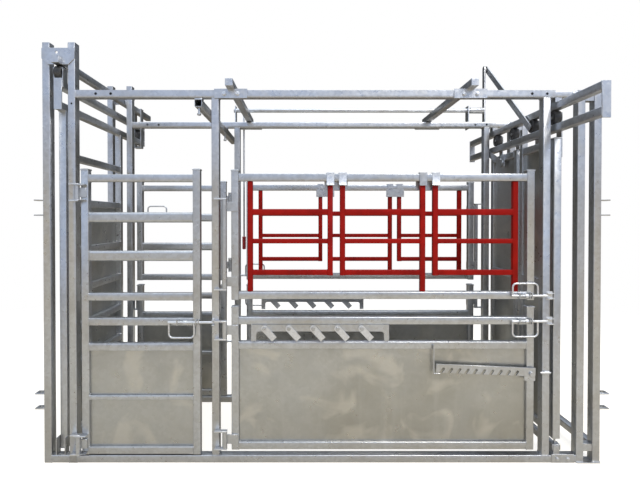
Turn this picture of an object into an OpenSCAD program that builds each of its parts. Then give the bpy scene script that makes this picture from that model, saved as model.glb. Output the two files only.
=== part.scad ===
// Cattle squeeze chute: two welded side frames of box tube, joined over the top, with hinged side
// gates, a sliding rear gate, and a two-leaf sliding head gate worked by one crank and lever.
// +X points to the head end, +Y to the operator's lever side, +Z up, and the floor is z = 0.

/* [Frame] */
// Width over the outer faces of the two side frames
frame_w = 860; // [840:2:880]
// Height to the top of the top rails
frame_h = 1997; // [1990:1:2020]
// Height of the two tall posts at the rear
rear_post_h = 2250; // [2230:5:2300]
// Width of every post and rail, seen from the side
tube_w = 40; // [38:1:40]
// Depth of the frame's tubes, across the chute
tube_d = 50; // [45:1:50]
// Wall of the box tube
wall = 3; // [2:0.5:4]

/* [Gates] */
// Depth of the gates' tubes
gate_d = 40; // [36:1:42]
// Top of the vet gates
vet_top = 1573; // [1560:1:1600]
// Top of the main upper gates
upper_top = 1568; // [1560:1:1600]
// Width of the bars of the red needle panels
needle_w = 28; // [26:1:30]
// Bore of the gate hinge eyes, across
eye_bore = 16.1; // [16.06:0.02:16.16]

/* [Latches] */
// Thickness of the latch bolts
bolt_d = 14; // [12:1:14]
// Thickness of the rod of the D handles
handle_d = 10; // [8:1:12]
// Reach of a D handle away from its bolt
handle_reach = 82; // [70:1:95]

/* [Running gear] */
// Radius of the crank arms, from the shaft to the link pins
crank_r = 300; // [290:1:305]
// Outside of the operating shaft
shaft_d = 30; // [28:1:30]
// Outside of the head gate's rollers
head_roller_d = 75; // [70:1:75]

/* [Hidden] */

X = 0;
Y = 1;
Z = 2;
GALVANISED = "lightsteelblue";
ZINC = "gainsboro";
NEEDLE_RED = "firebrick";
NYLON = [0.12, 0.12, 0.13];

// Air left at a welded joint, so that each tube stays an open-ended solid
weld = 0.2;
// Air between parts that slide or turn past each other
run = 0.5;

half_w = frame_w / 2;
rail_z = frame_h - tube_w;
track_end = 822;
outrigger_end = 990;
// Moves the plan so that the origin lies under the middle of the whole outline
plan_shift = (track_end - outrigger_end) / 2;

// Side frame, along X: the left faces of its posts
rear_post_x = [-1492, -1356];
mid_post_x = -591;
head_post_x = 1180;
rail_end_x = 1241;
end_post_x = [1364, 1452];
rail_holes = [-1207, -1127, 1119, 1199];
rail_hole_r = 7;

// Rear gate and the beam that carries it
gate_x = -1426;
outrigger_z = 2131;
rear_rail_z = [1894, 2008];
rear_rail_end = 830;
rear_roller_r = 38;
rear_roller_y = -405;
rear_roller_z = outrigger_z - run - rear_roller_r;
tail_roller_r = 36.5;
tail_roller_y = 760;
tail_roller_z = (rear_rail_z[0] + tube_w + rear_rail_z[1]) / 2;
axle_r = 8;

// Head gate
track_x = 1238;
track_z = [1776, 1892];
head_axle_z = 1854;
leaf_z = [130, 1740];
leaf_near_y = [-430, -32];
leaf_far_y = [2, 400];
roller_near_y = [-400, -170];
roller_far_y = [80, 330];
link_x = 1224;
link_t = 6;
shaft_y = 462;
shaft_z = 2096;
far_pin = [200, 1683];
guide_z = 57;

// Side gates
gate_y = -half_w;
hinge_y = -half_w - 14;
eye_r = 13;
vet_x = [-1289, -652];
vet_hinge_x = -1302.5;
vet_right_hinge_x = -632;
main_x = [-486, 1136];
main_hinge_x = -520;
main_mid_x = (mid_post_x + tube_w + head_post_x) / 2;
latch_y = -half_w - 12;
upper_z = 877;
upper_latch_z = 900;
lower_latch_z = 764;
vet_latch_z = 758;
far_vet_upper_latch_z = 1318;
far_vet_lower_latch_z = 420;

// Red needle panels: [x of the pivot's centre, x of the free bar's centre]. The middle far one turns
// on its other bar
needles = [[-386, 44], [540, 110], [1037, 608]];
far_needles = [needles[0], [needles[1][1], needles[1][0]], needles[2]];
// The pairs of bars, side by side, that stop against one plate: [x of the first, x of the second]
bar_pairs = [[44, 110], [540, 608]];
needle_y = gate_y + gate_d / 2;
pivot_bore = 20.1;

// Pawls: x of each pivot bolt, along the plate
pawl_x = [-308, -178, -48, 82, 210];
pawl_z = 725;
pawl_slope = 47;
stay_pivot = [1115, 484];
stay_len = 508;
stay_notches = 11;
notch_step = 44;
stay_hook_z = 484;

// A box tube with its low corner at at. along is the axis that its hollow follows
module box_tube(at, size, along, capped = false) {
    inset = [for (i = [X:Z]) i == along ? -1 : wall];
    hollow = [for (i = [X:Z]) i == along ? size[i] + (capped ? 1 - wall : 2) : size[i] - 2 * wall];
    translate(at) difference() {
        cube(size);
        translate(inset) cube(hollow);
    }
}

module rod(at, len, r, along) {
    turn = along == X ? [0, 90, 0] : along == Y ? [-90, 0, 0] : [0, 0, 0];
    translate(at) rotate(turn) cylinder(h = len, r = r, $fn = 48);
}

module block(low, high) {
    translate(low) cube(high - low);
}

// An outline drawn in x and z, made t thick towards -Y from y
module plate_xz(y, t) {
    translate([0, y, 0]) rotate([90, 0, 0]) linear_extrude(t) children();
}

module placed() {
    translate([0, plan_shift, 0]) children();
}

module far_side() {
    mirror([0, 1, 0]) children();
}

// The far main gates are the near ones turned round, so they hinge at the head end
module far_main() {
    translate([2 * main_mid_x, 0, 0]) rotate([0, 0, 180]) children();
}

module hex_head(at, along, dir = -1, r = 12, t = 8) {
    turn = along == Y ? [dir < 0 ? 90 : -90, 0, 0] : along == X ? [0, dir * 90, 0] : [dir < 0 ? 180 : 0, 0, 0];
    translate(at) rotate(turn) cylinder(h = t, r = r, $fn = 6);
}

// ---- Fixed frame ----

module side_frame() {
    for (x = rear_post_x)
        difference() {
            box_tube([x, -half_w, 0], [tube_w, tube_d, rear_post_h], Z, capped = true);
            if (x == rear_post_x[1])
                rod([x + tube_w / 2, -half_w - 1, 1925], wall + 2, 5, Y);
        }
    for (x = [mid_post_x, head_post_x])
        box_tube([x, -half_w, tube_w + weld], [tube_w, tube_d, rail_z - tube_w - 2 * weld], Z);
    rail_x = rear_post_x[1] + tube_w + weld;
    difference() {
        box_tube([rail_x, -half_w, rail_z], [rail_end_x - rail_x, tube_d, tube_w], X);
        for (x = rail_holes)
            rod([x, -half_w - 1, rail_z + tube_w / 2], tube_d + 2, rail_hole_r, Y);
    }
    base_len = end_post_x[0] - weld - rail_x;
    box_tube([rail_x, -half_w, 0], [base_len, tube_d, tube_w], X);
    // Smaller tube that carries the top rail on to the head-end posts
    ext_x = rail_end_x + weld;
    box_tube([ext_x, -half_w + 2, rail_z + 2], [end_post_x[0] - weld - ext_x, tube_d - 4, tube_w - 4], X);
    // Tie at the floor between the two rear posts
    tie_x = rear_post_x[0] + tube_w + weld;
    box_tube([tie_x, -half_w, 0], [rear_post_x[1] - weld - tie_x, tube_d, tube_w], X);
    // Joining plate over the base rail, and the two plates that guide the rear gate's foot
    block([1231, -half_w - 3 - weld, 2], [1351, -half_w - weld, 46]);
    for (x = [gate_x - 6, gate_x + tube_w + 1])
        block([x, -half_w + 4, tube_w + weld], [x + 5, -half_w + 46, 130]);
}

module near_side_frame() color(GALVANISED) placed() side_frame();

module far_side_frame() color(GALVANISED) placed() far_side() side_frame();

module gusset_outline() {
    difference() {
        polygon([[-1492, 2219], [-1316, 2219], [-1316, 2163], [-1350, 2131], [-1458, 2131], [-1492, 2163]]);
        translate([gate_x - run, 2130]) square([tube_w + 2 * run, outrigger_z + tube_w + run - 2130]);
        translate([-1412, 2195]) circle(r = 7.5, $fn = 32);
    }
}

module rear_outrigger() color(GALVANISED) placed() {
    box_tube([gate_x, -465, outrigger_z], [tube_w, 465 + outrigger_end, tube_w], Y);
    plate_xz(-half_w - weld, 5) gusset_outline();
    far_side() plate_xz(-half_w - weld, 5) gusset_outline();
    for (x = [gate_x - 8 - run, gate_x + tube_w + run])
        block([x, tail_roller_y - 26, 1868], [x + 8, tail_roller_y + 26, outrigger_z + tube_w]);
    rod([gate_x - 8, tail_roller_y, tail_roller_z], tube_w + 16, axle_r, X);
    rod([gate_x - 8, tail_roller_y, 1880], tube_w + 16, 6, X);
}

module end_posts() {
    for (x = end_post_x)
        box_tube([x, -half_w, 5 + weld], [tube_w, tube_d, frame_h - 5 - weld], Z, capped = true);
    tie_x = end_post_x[0] + tube_w + weld;
    for (z = [60, 1940])
        box_tube([tie_x, -half_w + 5, z], [end_post_x[1] - weld - tie_x, tube_d - 10, tube_w], X);
    block([end_post_x[0], -half_w - 8, 0], [end_post_x[1] + tube_w, -half_w + tube_d + 8, 5]);
}

module head_end_posts() color(GALVANISED) placed() {
    end_posts();
    far_side() end_posts();
    inner_y = half_w - tube_d - weld;
    box_tube([end_post_x[1], -inner_y, 60], [tube_w, 2 * inner_y, tube_w], Y);
}

module head_track() color(GALVANISED) placed() {
    reach = track_end - 6 - weld;
    for (z = track_z)
        box_tube([track_x, -reach, z], [tube_w, 2 * reach, z == track_z[0] ? tube_w : tube_w - 1], Y);
    for (y = [-track_end, track_end - 6])
        block([track_x, y, 1765], [track_x + tube_w, y + 6, 1931]);
    for (y = [-half_w, half_w - tube_d])
        block([track_x + 4, y, 1931 + weld], [track_x + tube_w, y + tube_d, rail_z - weld]);
}

module head_floor_guide() color(GALVANISED) placed() {
    box_tube([track_x + 3, -half_w, guide_z], [34, 2 * half_w, 36], Y);
    for (y = [-half_w, half_w - tube_d])
        block([track_x + 3, y, tube_w + weld], [track_x + 37, y + tube_d, guide_z - weld]);
}

module top_cross_tubes() color(GALVANISED) placed()
    for (x = [-487, 790]) {
        box_tube([x - tube_w / 2, -half_w - 65, frame_h + 3], [tube_w, frame_w + 130, tube_w], Y);
        for (s = [-1, 1]) {
            y = s < 0 ? -half_w - weld - 6 : half_w + weld;
            block([x - 88, y, frame_h - 45], [x + 88, y + 6, frame_h + 5]);
        }
    }

module mid_cross_beam() color(GALVANISED) placed() {
    z = rail_z - 49;
    box_tube([-681, -half_w, z], [tube_w, half_w + 810, tube_w], Y);
    for (y = [-half_w + tube_d / 2, half_w - tube_d / 2]) {
        block([-681, y - 20, z + tube_w], [-641, y + 20, rail_z - weld]);
        rod([-661, y, z - 42], 42, 6, Z);
        hex_head([-661, y, z - 30], Z, -1, 11, 10);
    }
}

// Pairs of drilled plates, to pin the next race panel to
module lug_pair(x, z) {
    for (dz = [0, 80])
        translate([x, -half_w + tube_d / 2, z + dz - 3.5]) difference() {
            translate([-25, -22, 0]) cube([50, 44, 7]);
            translate([3 * sign(x), 0, -1]) cylinder(h = 9, r = 10, $fn = 48);
        }
}

module panel_lugs() color(GALVANISED) placed()
    for (z = [290, 1330], x = [-1492 - 25 - weld, 1492 + 25 + weld]) {
        lug_pair(x, z);
        far_side() lug_pair(x, z);
    }

// A pin between two lugs on the front of a post. side is +1 where the gate lies towards +X
module hinge_pin(x, z0, z1, side, root) {
    rod([x, hinge_y, z0], z1 - z0, axle_r, Z);
    for (z = [z0, z1 - 8])
        block([min(x - side * root, x + side * 12), hinge_y - 12, z],
            [max(x - side * root, x + side * 12), -half_w - weld, z + 8]);
}

main_hinges = [[930, 1420], [664, 768], [80, 181]];
vet_hinges = [[1403, 1499], [50, 160]];
far_vet_upper_hinges = [[1400, 1500], [926, 1026]];
far_vet_lower_hinges = [[650, 750], [50, 160]];

module main_hinge_pins() {
    for (h = main_hinges)
        hinge_pin(main_hinge_x, h[0], h[1], 1, 55);
}

module gate_hinge_pins() color(ZINC) placed() {
    main_hinge_pins();
    far_main() main_hinge_pins();
    for (h = vet_hinges)
        hinge_pin(vet_hinge_x, h[0], h[1], 1, 40);
    far_side() {
        for (h = far_vet_lower_hinges)
            hinge_pin(vet_hinge_x, h[0], h[1], 1, 40);
        for (h = far_vet_upper_hinges)
            hinge_pin(vet_right_hinge_x, h[0], h[1], -1, 60);
    }
}

// An open-fronted catch: a back plate with a lip over and a lip under the latch bolt
module keeper(x, z, w = 34) {
    block([x, -half_w - 3 - weld, z - 22], [x + w, -half_w - weld, z + 22]);
    for (s = [-1, 1])
        block([x, -half_w - 24, z + s * 14 - 1.5], [x + w, -half_w - 3, z + s * 14 + 1.5]);
}

module latch_keepers() color(ZINC) placed() {
    for (z = [upper_latch_z, lower_latch_z]) {
        keeper(head_post_x + 18, z);
        far_main() keeper(head_post_x + 3, z);
    }
    keeper(mid_post_x + 3, vet_latch_z, 12);
    far_side() {
        keeper(mid_post_x + 3, far_vet_lower_latch_z);
        keeper(rear_post_x[1] + 3, far_vet_upper_latch_z);
    }
    // Storage pin for the stay bar, on the head post
    rod([head_post_x - 16, -half_w - 10, 488], 54, 6, X);
    block([head_post_x + 8, -half_w - 10, 480], [head_post_x + 32, -half_w - weld, 496]);
}

module crank_bearings() color(GALVANISED) placed()
    for (x = [-593, 1085])
        difference() {
            block([x, half_w + weld, rail_z], [x + 6, shaft_y + 28, shaft_z + 28]);
            rod([x - 1, shaft_y, shaft_z], 8, shaft_d / 2 + 0.06, X);
        }

module side_bolts() {
    face = -half_w - weld;
    for (x = [-487, 790], dx = [-35, 35])
        hex_head([x + dx, face - 6 - weld, frame_h - 22], Y);
    hex_head([1343, -half_w + 2 - weld, rail_z + tube_w / 2], Y, -1, 9, 7);
    for (x = [1261, 1318])
        hex_head([x, face - 3 - weld, 24], Y, -1, 9, 7);
}

module frame_bolts() color(ZINC) placed() {
    side_bolts();
    far_side() side_bolts();
}

// ---- Rear sliding gate ----

module rear_gate() color(GALVANISED) placed() {
    for (z = rear_rail_z)
        box_tube([gate_x, -half_w, z], [tube_w, half_w + rear_rail_end, tube_w], Y);
    for (y = [-half_w - 6 - weld, rear_rail_end + weld])
        block([gate_x - 1.5, y, 1893], [gate_x + tube_w + 1.5, y + 6, y < 0 ? 2060 : 2049]);
    // Fork for the front roller, with its axle
    for (x = [gate_x - 5 - weld, gate_x + tube_w + weld])
        block([x, rear_roller_y - 25, 2012], [x + 5, rear_roller_y + 25, 2112]);
    rod([gate_x - 5, rear_roller_y, rear_roller_z], tube_w + 10, axle_r, X);
    // Leaf: two stiles, its rails, and the sheet on the outer side
    low = 60;
    for (y = [-390, 350])
        box_tube([gate_x, y, low], [tube_w, 40, rear_rail_z[0] - weld - low], Z);
    across = 700 - 2 * weld;
    for (z = [1636, 1382, low])
        box_tube([gate_x, -350 + weld, z], [tube_w, across, tube_w], Y);
    for (z = [460, 670, 885, 1110])
        box_tube([gate_x + 6, -350 + weld, z], [tube_w - 6, across, tube_w], Y);
    block([gate_x, -350 + weld, low + tube_w + weld], [gate_x + 3, 350 - weld, 1382 - weld]);
}

module roller(y, z, x, len, r, bore = 2 * axle_r + 0.1) {
    translate([x, y, z]) rotate([0, 90, 0]) difference() {
        cylinder(h = len, r = r, $fn = 64);
        translate([0, 0, -1]) cylinder(h = len + 2, r = bore / 2, $fn = 48);
    }
}

module rear_gate_roller() color(NYLON) placed()
    roller(rear_roller_y, rear_roller_z, gate_x + 1, tube_w - 2, rear_roller_r);

module rear_tail_roller() color(NYLON) placed()
    roller(tail_roller_y, tail_roller_z, gate_x + 1, tube_w - 2, tail_roller_r);

// ---- Head gate ----

// One leaf, hung from two axles. reach_x is where each axle ends on the inner side
module head_leaf(ys, rollers, reach_x) {
    for (y = [ys[0], ys[1] - tube_w])
        box_tube([track_x, y, leaf_z[0]], [tube_w, tube_w, leaf_z[1] - leaf_z[0]], Z);
    y0 = ys[0] + tube_w + weld;
    across = ys[1] - ys[0] - 2 * tube_w - 2 * weld;
    for (z = [leaf_z[0], 930, leaf_z[1] - tube_w])
        box_tube([track_x, y0, z], [tube_w, across, tube_w], Y);
    for (z = [[leaf_z[0] + tube_w, 930], [930 + tube_w, leaf_z[1] - tube_w]])
        block([track_x + 18, y0, z[0] + weld], [track_x + 21, y0 + across, z[1] - weld]);
    for (i = [0, 1]) {
        y = rollers[i];
        hanger_x = track_x + tube_w + run;
        block([hanger_x, y - 25, 1640], [hanger_x + 6, y + 25, 1880]);
        rod([reach_x[i], y, head_axle_z], hanger_x + 1 - reach_x[i], axle_r, X);
        hex_head([hanger_x + 6, y, head_axle_z], X, 1, 12, 8);
    }
    // Shoes that straddle the floor guide
    for (y = [ys[0] + 20, ys[1] - 20]) {
        block([track_x + 1, y - 20, guide_z + 38], [track_x + tube_w - 1, y + 20, guide_z + 42]);
        block([track_x + 17, y - 6, guide_z + 42], [track_x + 23, y + 6, leaf_z[0]]);
        for (x = [track_x - 2, track_x + tube_w - 2])
            block([x, y - 20, guide_z + 12], [x + 4, y + 20, guide_z + 42]);
    }
}

module head_leaf_near() color(GALVANISED) placed()
    head_leaf(leaf_near_y, roller_near_y, [track_x, link_x - 1]);

module head_leaf_far() color(GALVANISED) placed() {
    head_leaf(leaf_far_y, roller_far_y, [track_x, track_x]);
    block([track_x - 6, far_pin[0] - 28, far_pin[1] - 25], [track_x - weld, far_pin[0] + 28, leaf_z[1]]);
    rod([link_x - 1, far_pin[0], far_pin[1]], track_x - link_x - 4, axle_r, X);
}

module head_roller(y) color(NYLON) placed()
    roller(y, head_axle_z, track_x + 1, tube_w - 2, head_roller_d / 2);

module head_roller_1() head_roller(roller_near_y[0]);

module head_roller_2() head_roller(roller_near_y[1]);

module head_roller_3() head_roller(roller_far_y[0]);

module head_roller_4() head_roller(roller_far_y[1]);

module crank_shaft() color(GALVANISED) placed() {
    arm_x = link_x - 18;
    difference() {
        rod([-605, shaft_y, shaft_z], arm_x + 605, shaft_d / 2, X);
        rod([-606, shaft_y, shaft_z], arm_x + 600, shaft_d / 2 - wall, X);
    }
    rod([1110, shaft_y, shaft_z], arm_x - 1110, 21, X);
    // Two-ended crank arm with a pin at each tip
    block([arm_x, shaft_y - 20, shaft_z - crank_r], [arm_x + 8, shaft_y + 20, shaft_z + crank_r]);
    for (s = [-1, 1]) {
        rod([arm_x, shaft_y, shaft_z + s * crank_r], 8, 20, X);
        rod([arm_x + 8, shaft_y, shaft_z + s * crank_r], 10 - run, axle_r, X);
    }
}

// Flat bar between two points of y and z, with a round eye at each end
module link(a, b, far_eye_r) {
    span = norm(b - a);
    translate([link_x, a[0], a[1]]) rotate([atan2(b[1] - a[1], b[0] - a[0]), 0, 0]) difference() {
        union() {
            translate([0, 0, -20]) cube([link_t, span, 40]);
            for (y = [0, span])
                rod([0, y, 0], link_t, 20, X);
        }
        rod([-1, 0, 0], link_t + 2, axle_r + 0.05, X);
        rod([-1, span, 0], link_t + 2, far_eye_r, X);
    }
}

module link_upper() color(GALVANISED) placed()
    link([roller_near_y[1], head_axle_z], [shaft_y, shaft_z + crank_r], 10);

module link_lower() color(GALVANISED) placed()
    link(far_pin, [shaft_y, shaft_z - crank_r], 10);

lever_x = -533;
grip_z = 1088;

module control_lever() color(ZINC) placed() {
    difference() {
        rod([lever_x - 14, shaft_y, shaft_z], 28, 22, X);
        rod([lever_x - 15, shaft_y, shaft_z], 30, shaft_d / 2 + 0.05, X);
    }
    rod([lever_x, shaft_y, grip_z + 6], shaft_z - 19 - grip_z - 6, 6, Z);
}

module lever_grip() color(NEEDLE_RED) placed()
    difference() {
        union() {
            rod([lever_x, shaft_y, grip_z], 92, 14, Z);
            rod([lever_x, shaft_y, grip_z + 84], 8, 17, Z);
        }
        rod([lever_x, shaft_y, grip_z + 6], 100, 6.05, Z);
    }

// ---- Parts that the side gates share ----

module stile(x, z0, z1) {
    box_tube([x, gate_y, z0], [tube_w, gate_d, z1 - z0], Z);
}

module rail(x0, x1, z, h = tube_w) {
    box_tube([x0 + weld, gate_y, z], [x1 - x0 - 2 * weld, gate_d, h], X);
}

module oval_shape(x, len, z, r) {
    for (dz = [14, 42])
        rod([x, needle_y, z + dz], len, r, X);
    block([x, needle_y - r, z + 14], [x + len, needle_y + r, z + 42]);
}

// Oval tube, 56 tall and 28 thick
module oval_rail(x0, x1, z) {
    difference() {
        oval_shape(x0 + weld, x1 - x0 - 2 * weld, z, 14);
        oval_shape(x0 - 1, x1 - x0 + 2, z, 11);
    }
}

module sheet(x0, x1, z0, z1) {
    block([x0 + weld, gate_y + 18, z0 + weld], [x1 - weld, gate_y + 21, z1 - weld]);
}

// Hinge eye on a gate, with a strap on the front of the stile. reach is the strap's length
module gate_eye(x, z0, z1, side, reach) {
    difference() {
        rod([x, hinge_y, z0 + 8 + run], z1 - z0 - 16 - 2 * run, eye_r, Z);
        rod([x, hinge_y, z0], z1 - z0, eye_bore / 2, Z);
    }
    near = x + side * 9;
    far = x + side * reach;
    for (z = z1 - z0 > 200 ? [z0 + 20, z1 - 70] : [(z0 + z1) / 2 - 25])
        block([min(near, far), hinge_y + 6, z], [max(near, far), gate_y - weld, z + 50]);
}

// Drilled guides for a latch bolt, on the gate's front
module latch_guides(xs, z) {
    for (x = xs)
        difference() {
            block([x, latch_y - 11, z - 15], [x + 6, gate_y - weld, z + 15]);
            rod([x - 1, latch_y, z], 8, bolt_d / 2 + 0.06, X);
        }
}

// Latch bolt along X with a D-shaped handle. up is +1 or -1, the way that the handle stands
module latch(tip, leg, z, up, reach = handle_reach, width = 134) {
    bend = 22;
    r = handle_d / 2;
    end = leg - 5;
    other = leg > tip ? leg - width : leg + width;
    rod([min(tip, end), latch_y, z], abs(tip - end), bolt_d / 2, X);
    low = min(leg, other);
    translate([low, latch_y, z]) mirror([0, 0, up < 0 ? 1 : 0]) {
        for (x = [0, width])
            rod([x, 0, 0], reach - bend, r, Z);
        rod([bend, 0, reach], width - 2 * bend, r, X);
        for (x = [0, width])
            translate([x == 0 ? bend : width - bend, 0, reach - bend])
                rotate([90, 0, 0]) rotate([0, 0, x == 0 ? 90 : 0])
                    rotate_extrude(angle = 90, $fn = 64) translate([bend, 0]) circle(r = r, $fn = 32);
    }
}

// ---- Vet gates ----

module vet_gate_upper_rails() {
    stiles = [vet_x[0] + tube_w, vet_x[1] - tube_w];
    rail(stiles[0], stiles[1], vet_top - 65);
    for (z = [1290, 1083])
        oval_rail(stiles[0], stiles[1], z);
    rail(stiles[0], stiles[1], 872);
}

module vet_gate_lower_rails() {
    stiles = [vet_x[0] + tube_w, vet_x[1] - tube_w];
    for (z = [738, 602, 46])
        rail(stiles[0], stiles[1], z);
    rail(stiles[0], stiles[1], 338, 24);
    sheet(stiles[0], stiles[1], 86, 338);
    sheet(stiles[0], stiles[1], 362, 602);
}

module vet_stiles(z0, z1) {
    stile(vet_x[0], z0, z1);
    stile(vet_x[1] - tube_w, z0, z1);
}

vet_tip = mid_post_x + 9;
vet_leg = -817;
vet_guides = [-775, -674, -661];

module vet_gate_near() color(GALVANISED) placed() {
    vet_stiles(46, vet_top);
    vet_gate_upper_rails();
    vet_gate_lower_rails();
    for (h = vet_hinges)
        gate_eye(vet_hinge_x, h[0], h[1], 1, 45);
    latch_guides(vet_guides, vet_latch_z);
}

module vet_latch_near() color(ZINC) placed() latch(vet_tip, vet_leg, vet_latch_z, -1);

module vet_gate_far_lower() color(GALVANISED) placed() far_side() {
    vet_stiles(46, 834);
    vet_gate_lower_rails();
    for (h = far_vet_lower_hinges)
        gate_eye(vet_hinge_x, h[0], h[1], 1, 45);
    latch_guides(vet_guides, far_vet_lower_latch_z);
    // Carries the latch across the sheet
    block([-790, gate_y - weld, far_vet_lower_latch_z - 20], [-694, gate_y + 4, far_vet_lower_latch_z + 20]);
}

module vet_latch_far_lower() color(ZINC) placed() far_side()
    latch(vet_tip, vet_leg, far_vet_lower_latch_z, -1);

far_vet_upper_tip = rear_post_x[1] + tube_w - 10;
far_vet_upper_leg = -1092;

module vet_gate_far_upper() color(GALVANISED) placed() far_side() {
    vet_stiles(872, vet_top);
    vet_gate_upper_rails();
    for (h = far_vet_upper_hinges)
        gate_eye(vet_right_hinge_x, h[0], h[1], -1, 55);
    latch_guides([-1282, -1268], far_vet_upper_latch_z);
    // Carries the latch's tail in front of the oval rail
    block([-1140, gate_y - weld, 1300], [-1120, gate_y + 8, 1336]);
    latch_guides([-1133], far_vet_upper_latch_z);
}

module vet_latch_far_upper() color(ZINC) placed() far_side()
    latch(far_vet_upper_tip, far_vet_upper_leg, far_vet_upper_latch_z, 1);

// ---- Main gates ----

main_tip = head_post_x + 20;
far_main_tip = head_post_x + 10;
main_leg = 1014;
upper_reach = 66;
main_guides = [1046, 1100, 1112];

module saddle(x) {
    top = upper_top - 16;
    block([x - 21, gate_y - run - 5, top - 64], [x + 21, gate_y - run, top + 6]);
    block([x - 21, gate_y + gate_d + run, top - 30], [x + 21, gate_y + gate_d + run + 5, top + 6]);
    block([x - 21, gate_y - run - 5, top + run], [x + 21, gate_y + gate_d + run + 5, top + 6]);
}

module upper_gate(panels) {
    stiles = [main_x[0] + tube_w, main_x[1] - tube_w];
    stile(main_x[0], upper_z, upper_top);
    stile(stiles[1], upper_z, upper_top);
    for (z = [upper_z + 3, upper_top - 56])
        rail(stiles[0], stiles[1], z);
    gate_eye(main_hinge_x, main_hinges[0][0], main_hinges[0][1], 1, 72);
    latch_guides(main_guides, upper_latch_z);
    // Pivot pins for the needle panels, out of the bottom and the top rail
    for (n = panels) {
        rod([n[0], needle_y, upper_z + 3 + tube_w - wall], 35, 10, Z);
        rod([n[0], needle_y, upper_top - 56 - 28], 28 + wall, 10, Z);
    }
    // Stop plates on the inner face, under the top rail
    for (pair = bar_pairs)
        block([pair[0] - 30, gate_y + gate_d + weld, upper_top - 102],
            [pair[1] + 30, gate_y + gate_d + weld + 5, upper_top - 48]);
}

module upper_gate_near() color(GALVANISED) placed() {
    upper_gate(needles);
    saddle(needles[1][0]);
}

module upper_latch_near() color(ZINC) placed() latch(main_tip, main_leg, upper_latch_z, 1, upper_reach);

module upper_gate_far() color(GALVANISED) placed() far_main() {
    upper_gate(far_needles);
    for (pair = bar_pairs, x = pair)
        saddle(x);
}

module upper_latch_far() color(ZINC) placed() far_main() latch(far_main_tip, main_leg, upper_latch_z, 1);

module needle(pivot, free) {
    low = upper_z + 3 + tube_w + 2;
    high = upper_top - 56 - 2;
    half = needle_w / 2;
    side = sign(free - pivot);
    difference() {
        block([pivot - half, needle_y - half, low], [pivot + half, needle_y + half, high]);
        rod([pivot, needle_y, low - 1], high - low + 2, pivot_bore / 2, Z);
    }
    box_tube([free - half, needle_y - half, 1008], [needle_w, needle_w, 478], Z);
    x0 = min(pivot, free) + half + weld;
    len = abs(free - pivot) - needle_w - 2 * weld;
    for (r = [[1008, 28], [1178, 25], [1330, 33]])
        box_tube([x0, needle_y - half + 1, r[0]], [len, needle_w - 2, r[1]], X);
}

module needle_near_1() color(NEEDLE_RED) placed() needle(needles[0][0], needles[0][1]);

module needle_near_2() color(NEEDLE_RED) placed() needle(needles[1][0], needles[1][1]);

module needle_near_3() color(NEEDLE_RED) placed() needle(needles[2][0], needles[2][1]);

module needle_far_1() color(NEEDLE_RED) placed() far_main() needle(far_needles[0][0], far_needles[0][1]);

module needle_far_2() color(NEEDLE_RED) placed() far_main() needle(far_needles[1][0], far_needles[1][1]);

module needle_far_3() color(NEEDLE_RED) placed() far_main() needle(far_needles[2][0], far_needles[2][1]);

module saddle_clip_1() color(ZINC) placed() saddle(needles[0][1]);

module saddle_clip_2() color(ZINC) placed() saddle(needles[1][1]);

module saddle_clip_3() color(ZINC) placed() saddle(needles[2][1]);

module lower_gate() {
    stiles = [main_x[0] + tube_w, main_x[1] - tube_w];
    stile(main_x[0], 72, 837);
    stile(stiles[1], 72, 837);
    for (z = [744, 612, 72])
        rail(stiles[0], stiles[1], z);
    sheet(stiles[0], stiles[1], 112, 612);
    for (h = [main_hinges[1], main_hinges[2]])
        gate_eye(main_hinge_x, h[0], h[1], 1, 72);
    latch_guides(main_guides, lower_latch_z);
}

module pawl_plate() {
    plate_xz(gate_y - weld, 6) difference() {
        translate([-380, 657]) square([738, 88]);
        translate([-352, 640]) square([682, 53]);
        translate([-337, 640]) square([652, 68]);
        for (x = [-337, 315])
            translate([x, 693]) circle(r = 15, $fn = 32);
    }
    for (x = pawl_x) {
        rod([x, gate_y - 16, pawl_z], 12, 6, Y);
        hex_head([x, gate_y - 16, pawl_z], Y, -1, 11, 7);
    }
}

module pawl(x) {
    translate([x, gate_y - 7 - weld, pawl_z]) rotate([0, pawl_slope, 0]) difference() {
        union() {
            rod([0, -8, 0], 8, 17.5, Y);
            translate([0, -8, -17.5]) cube([78, 8, 35]);
        }
        rod([0, -9, 0], 10, 6.05, Y);
    }
}

module lower_gate_near() color(GALVANISED) placed() {
    lower_gate();
    // Bolt that the stay bar turns on, and the hook that its free end rests in
    rod([stay_pivot[0], gate_y - 18, stay_pivot[1]], 18 - weld, 7, Y);
    hex_head([stay_pivot[0], gate_y - 15, stay_pivot[1]], Y, -1, 13, 8);
    rod([596, gate_y - 10, stay_hook_z], 638 - stay_hook_z, 4, Z);
    rod([596, gate_y - 10, stay_hook_z], 34, 4, X);
    rod([596, gate_y - 10, 634], 10 - weld, 4, Y);
}

module lower_latch_near() color(ZINC) placed() latch(main_tip, main_leg, lower_latch_z, -1);

module pawl_plate_near() color(GALVANISED) placed() pawl_plate();

module pawl_1() color(ZINC) placed() pawl(pawl_x[0]);

module pawl_2() color(ZINC) placed() pawl(pawl_x[1]);

module pawl_3() color(ZINC) placed() pawl(pawl_x[2]);

module pawl_4() color(ZINC) placed() pawl(pawl_x[3]);

module pawl_5() color(ZINC) placed() pawl(pawl_x[4]);

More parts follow.
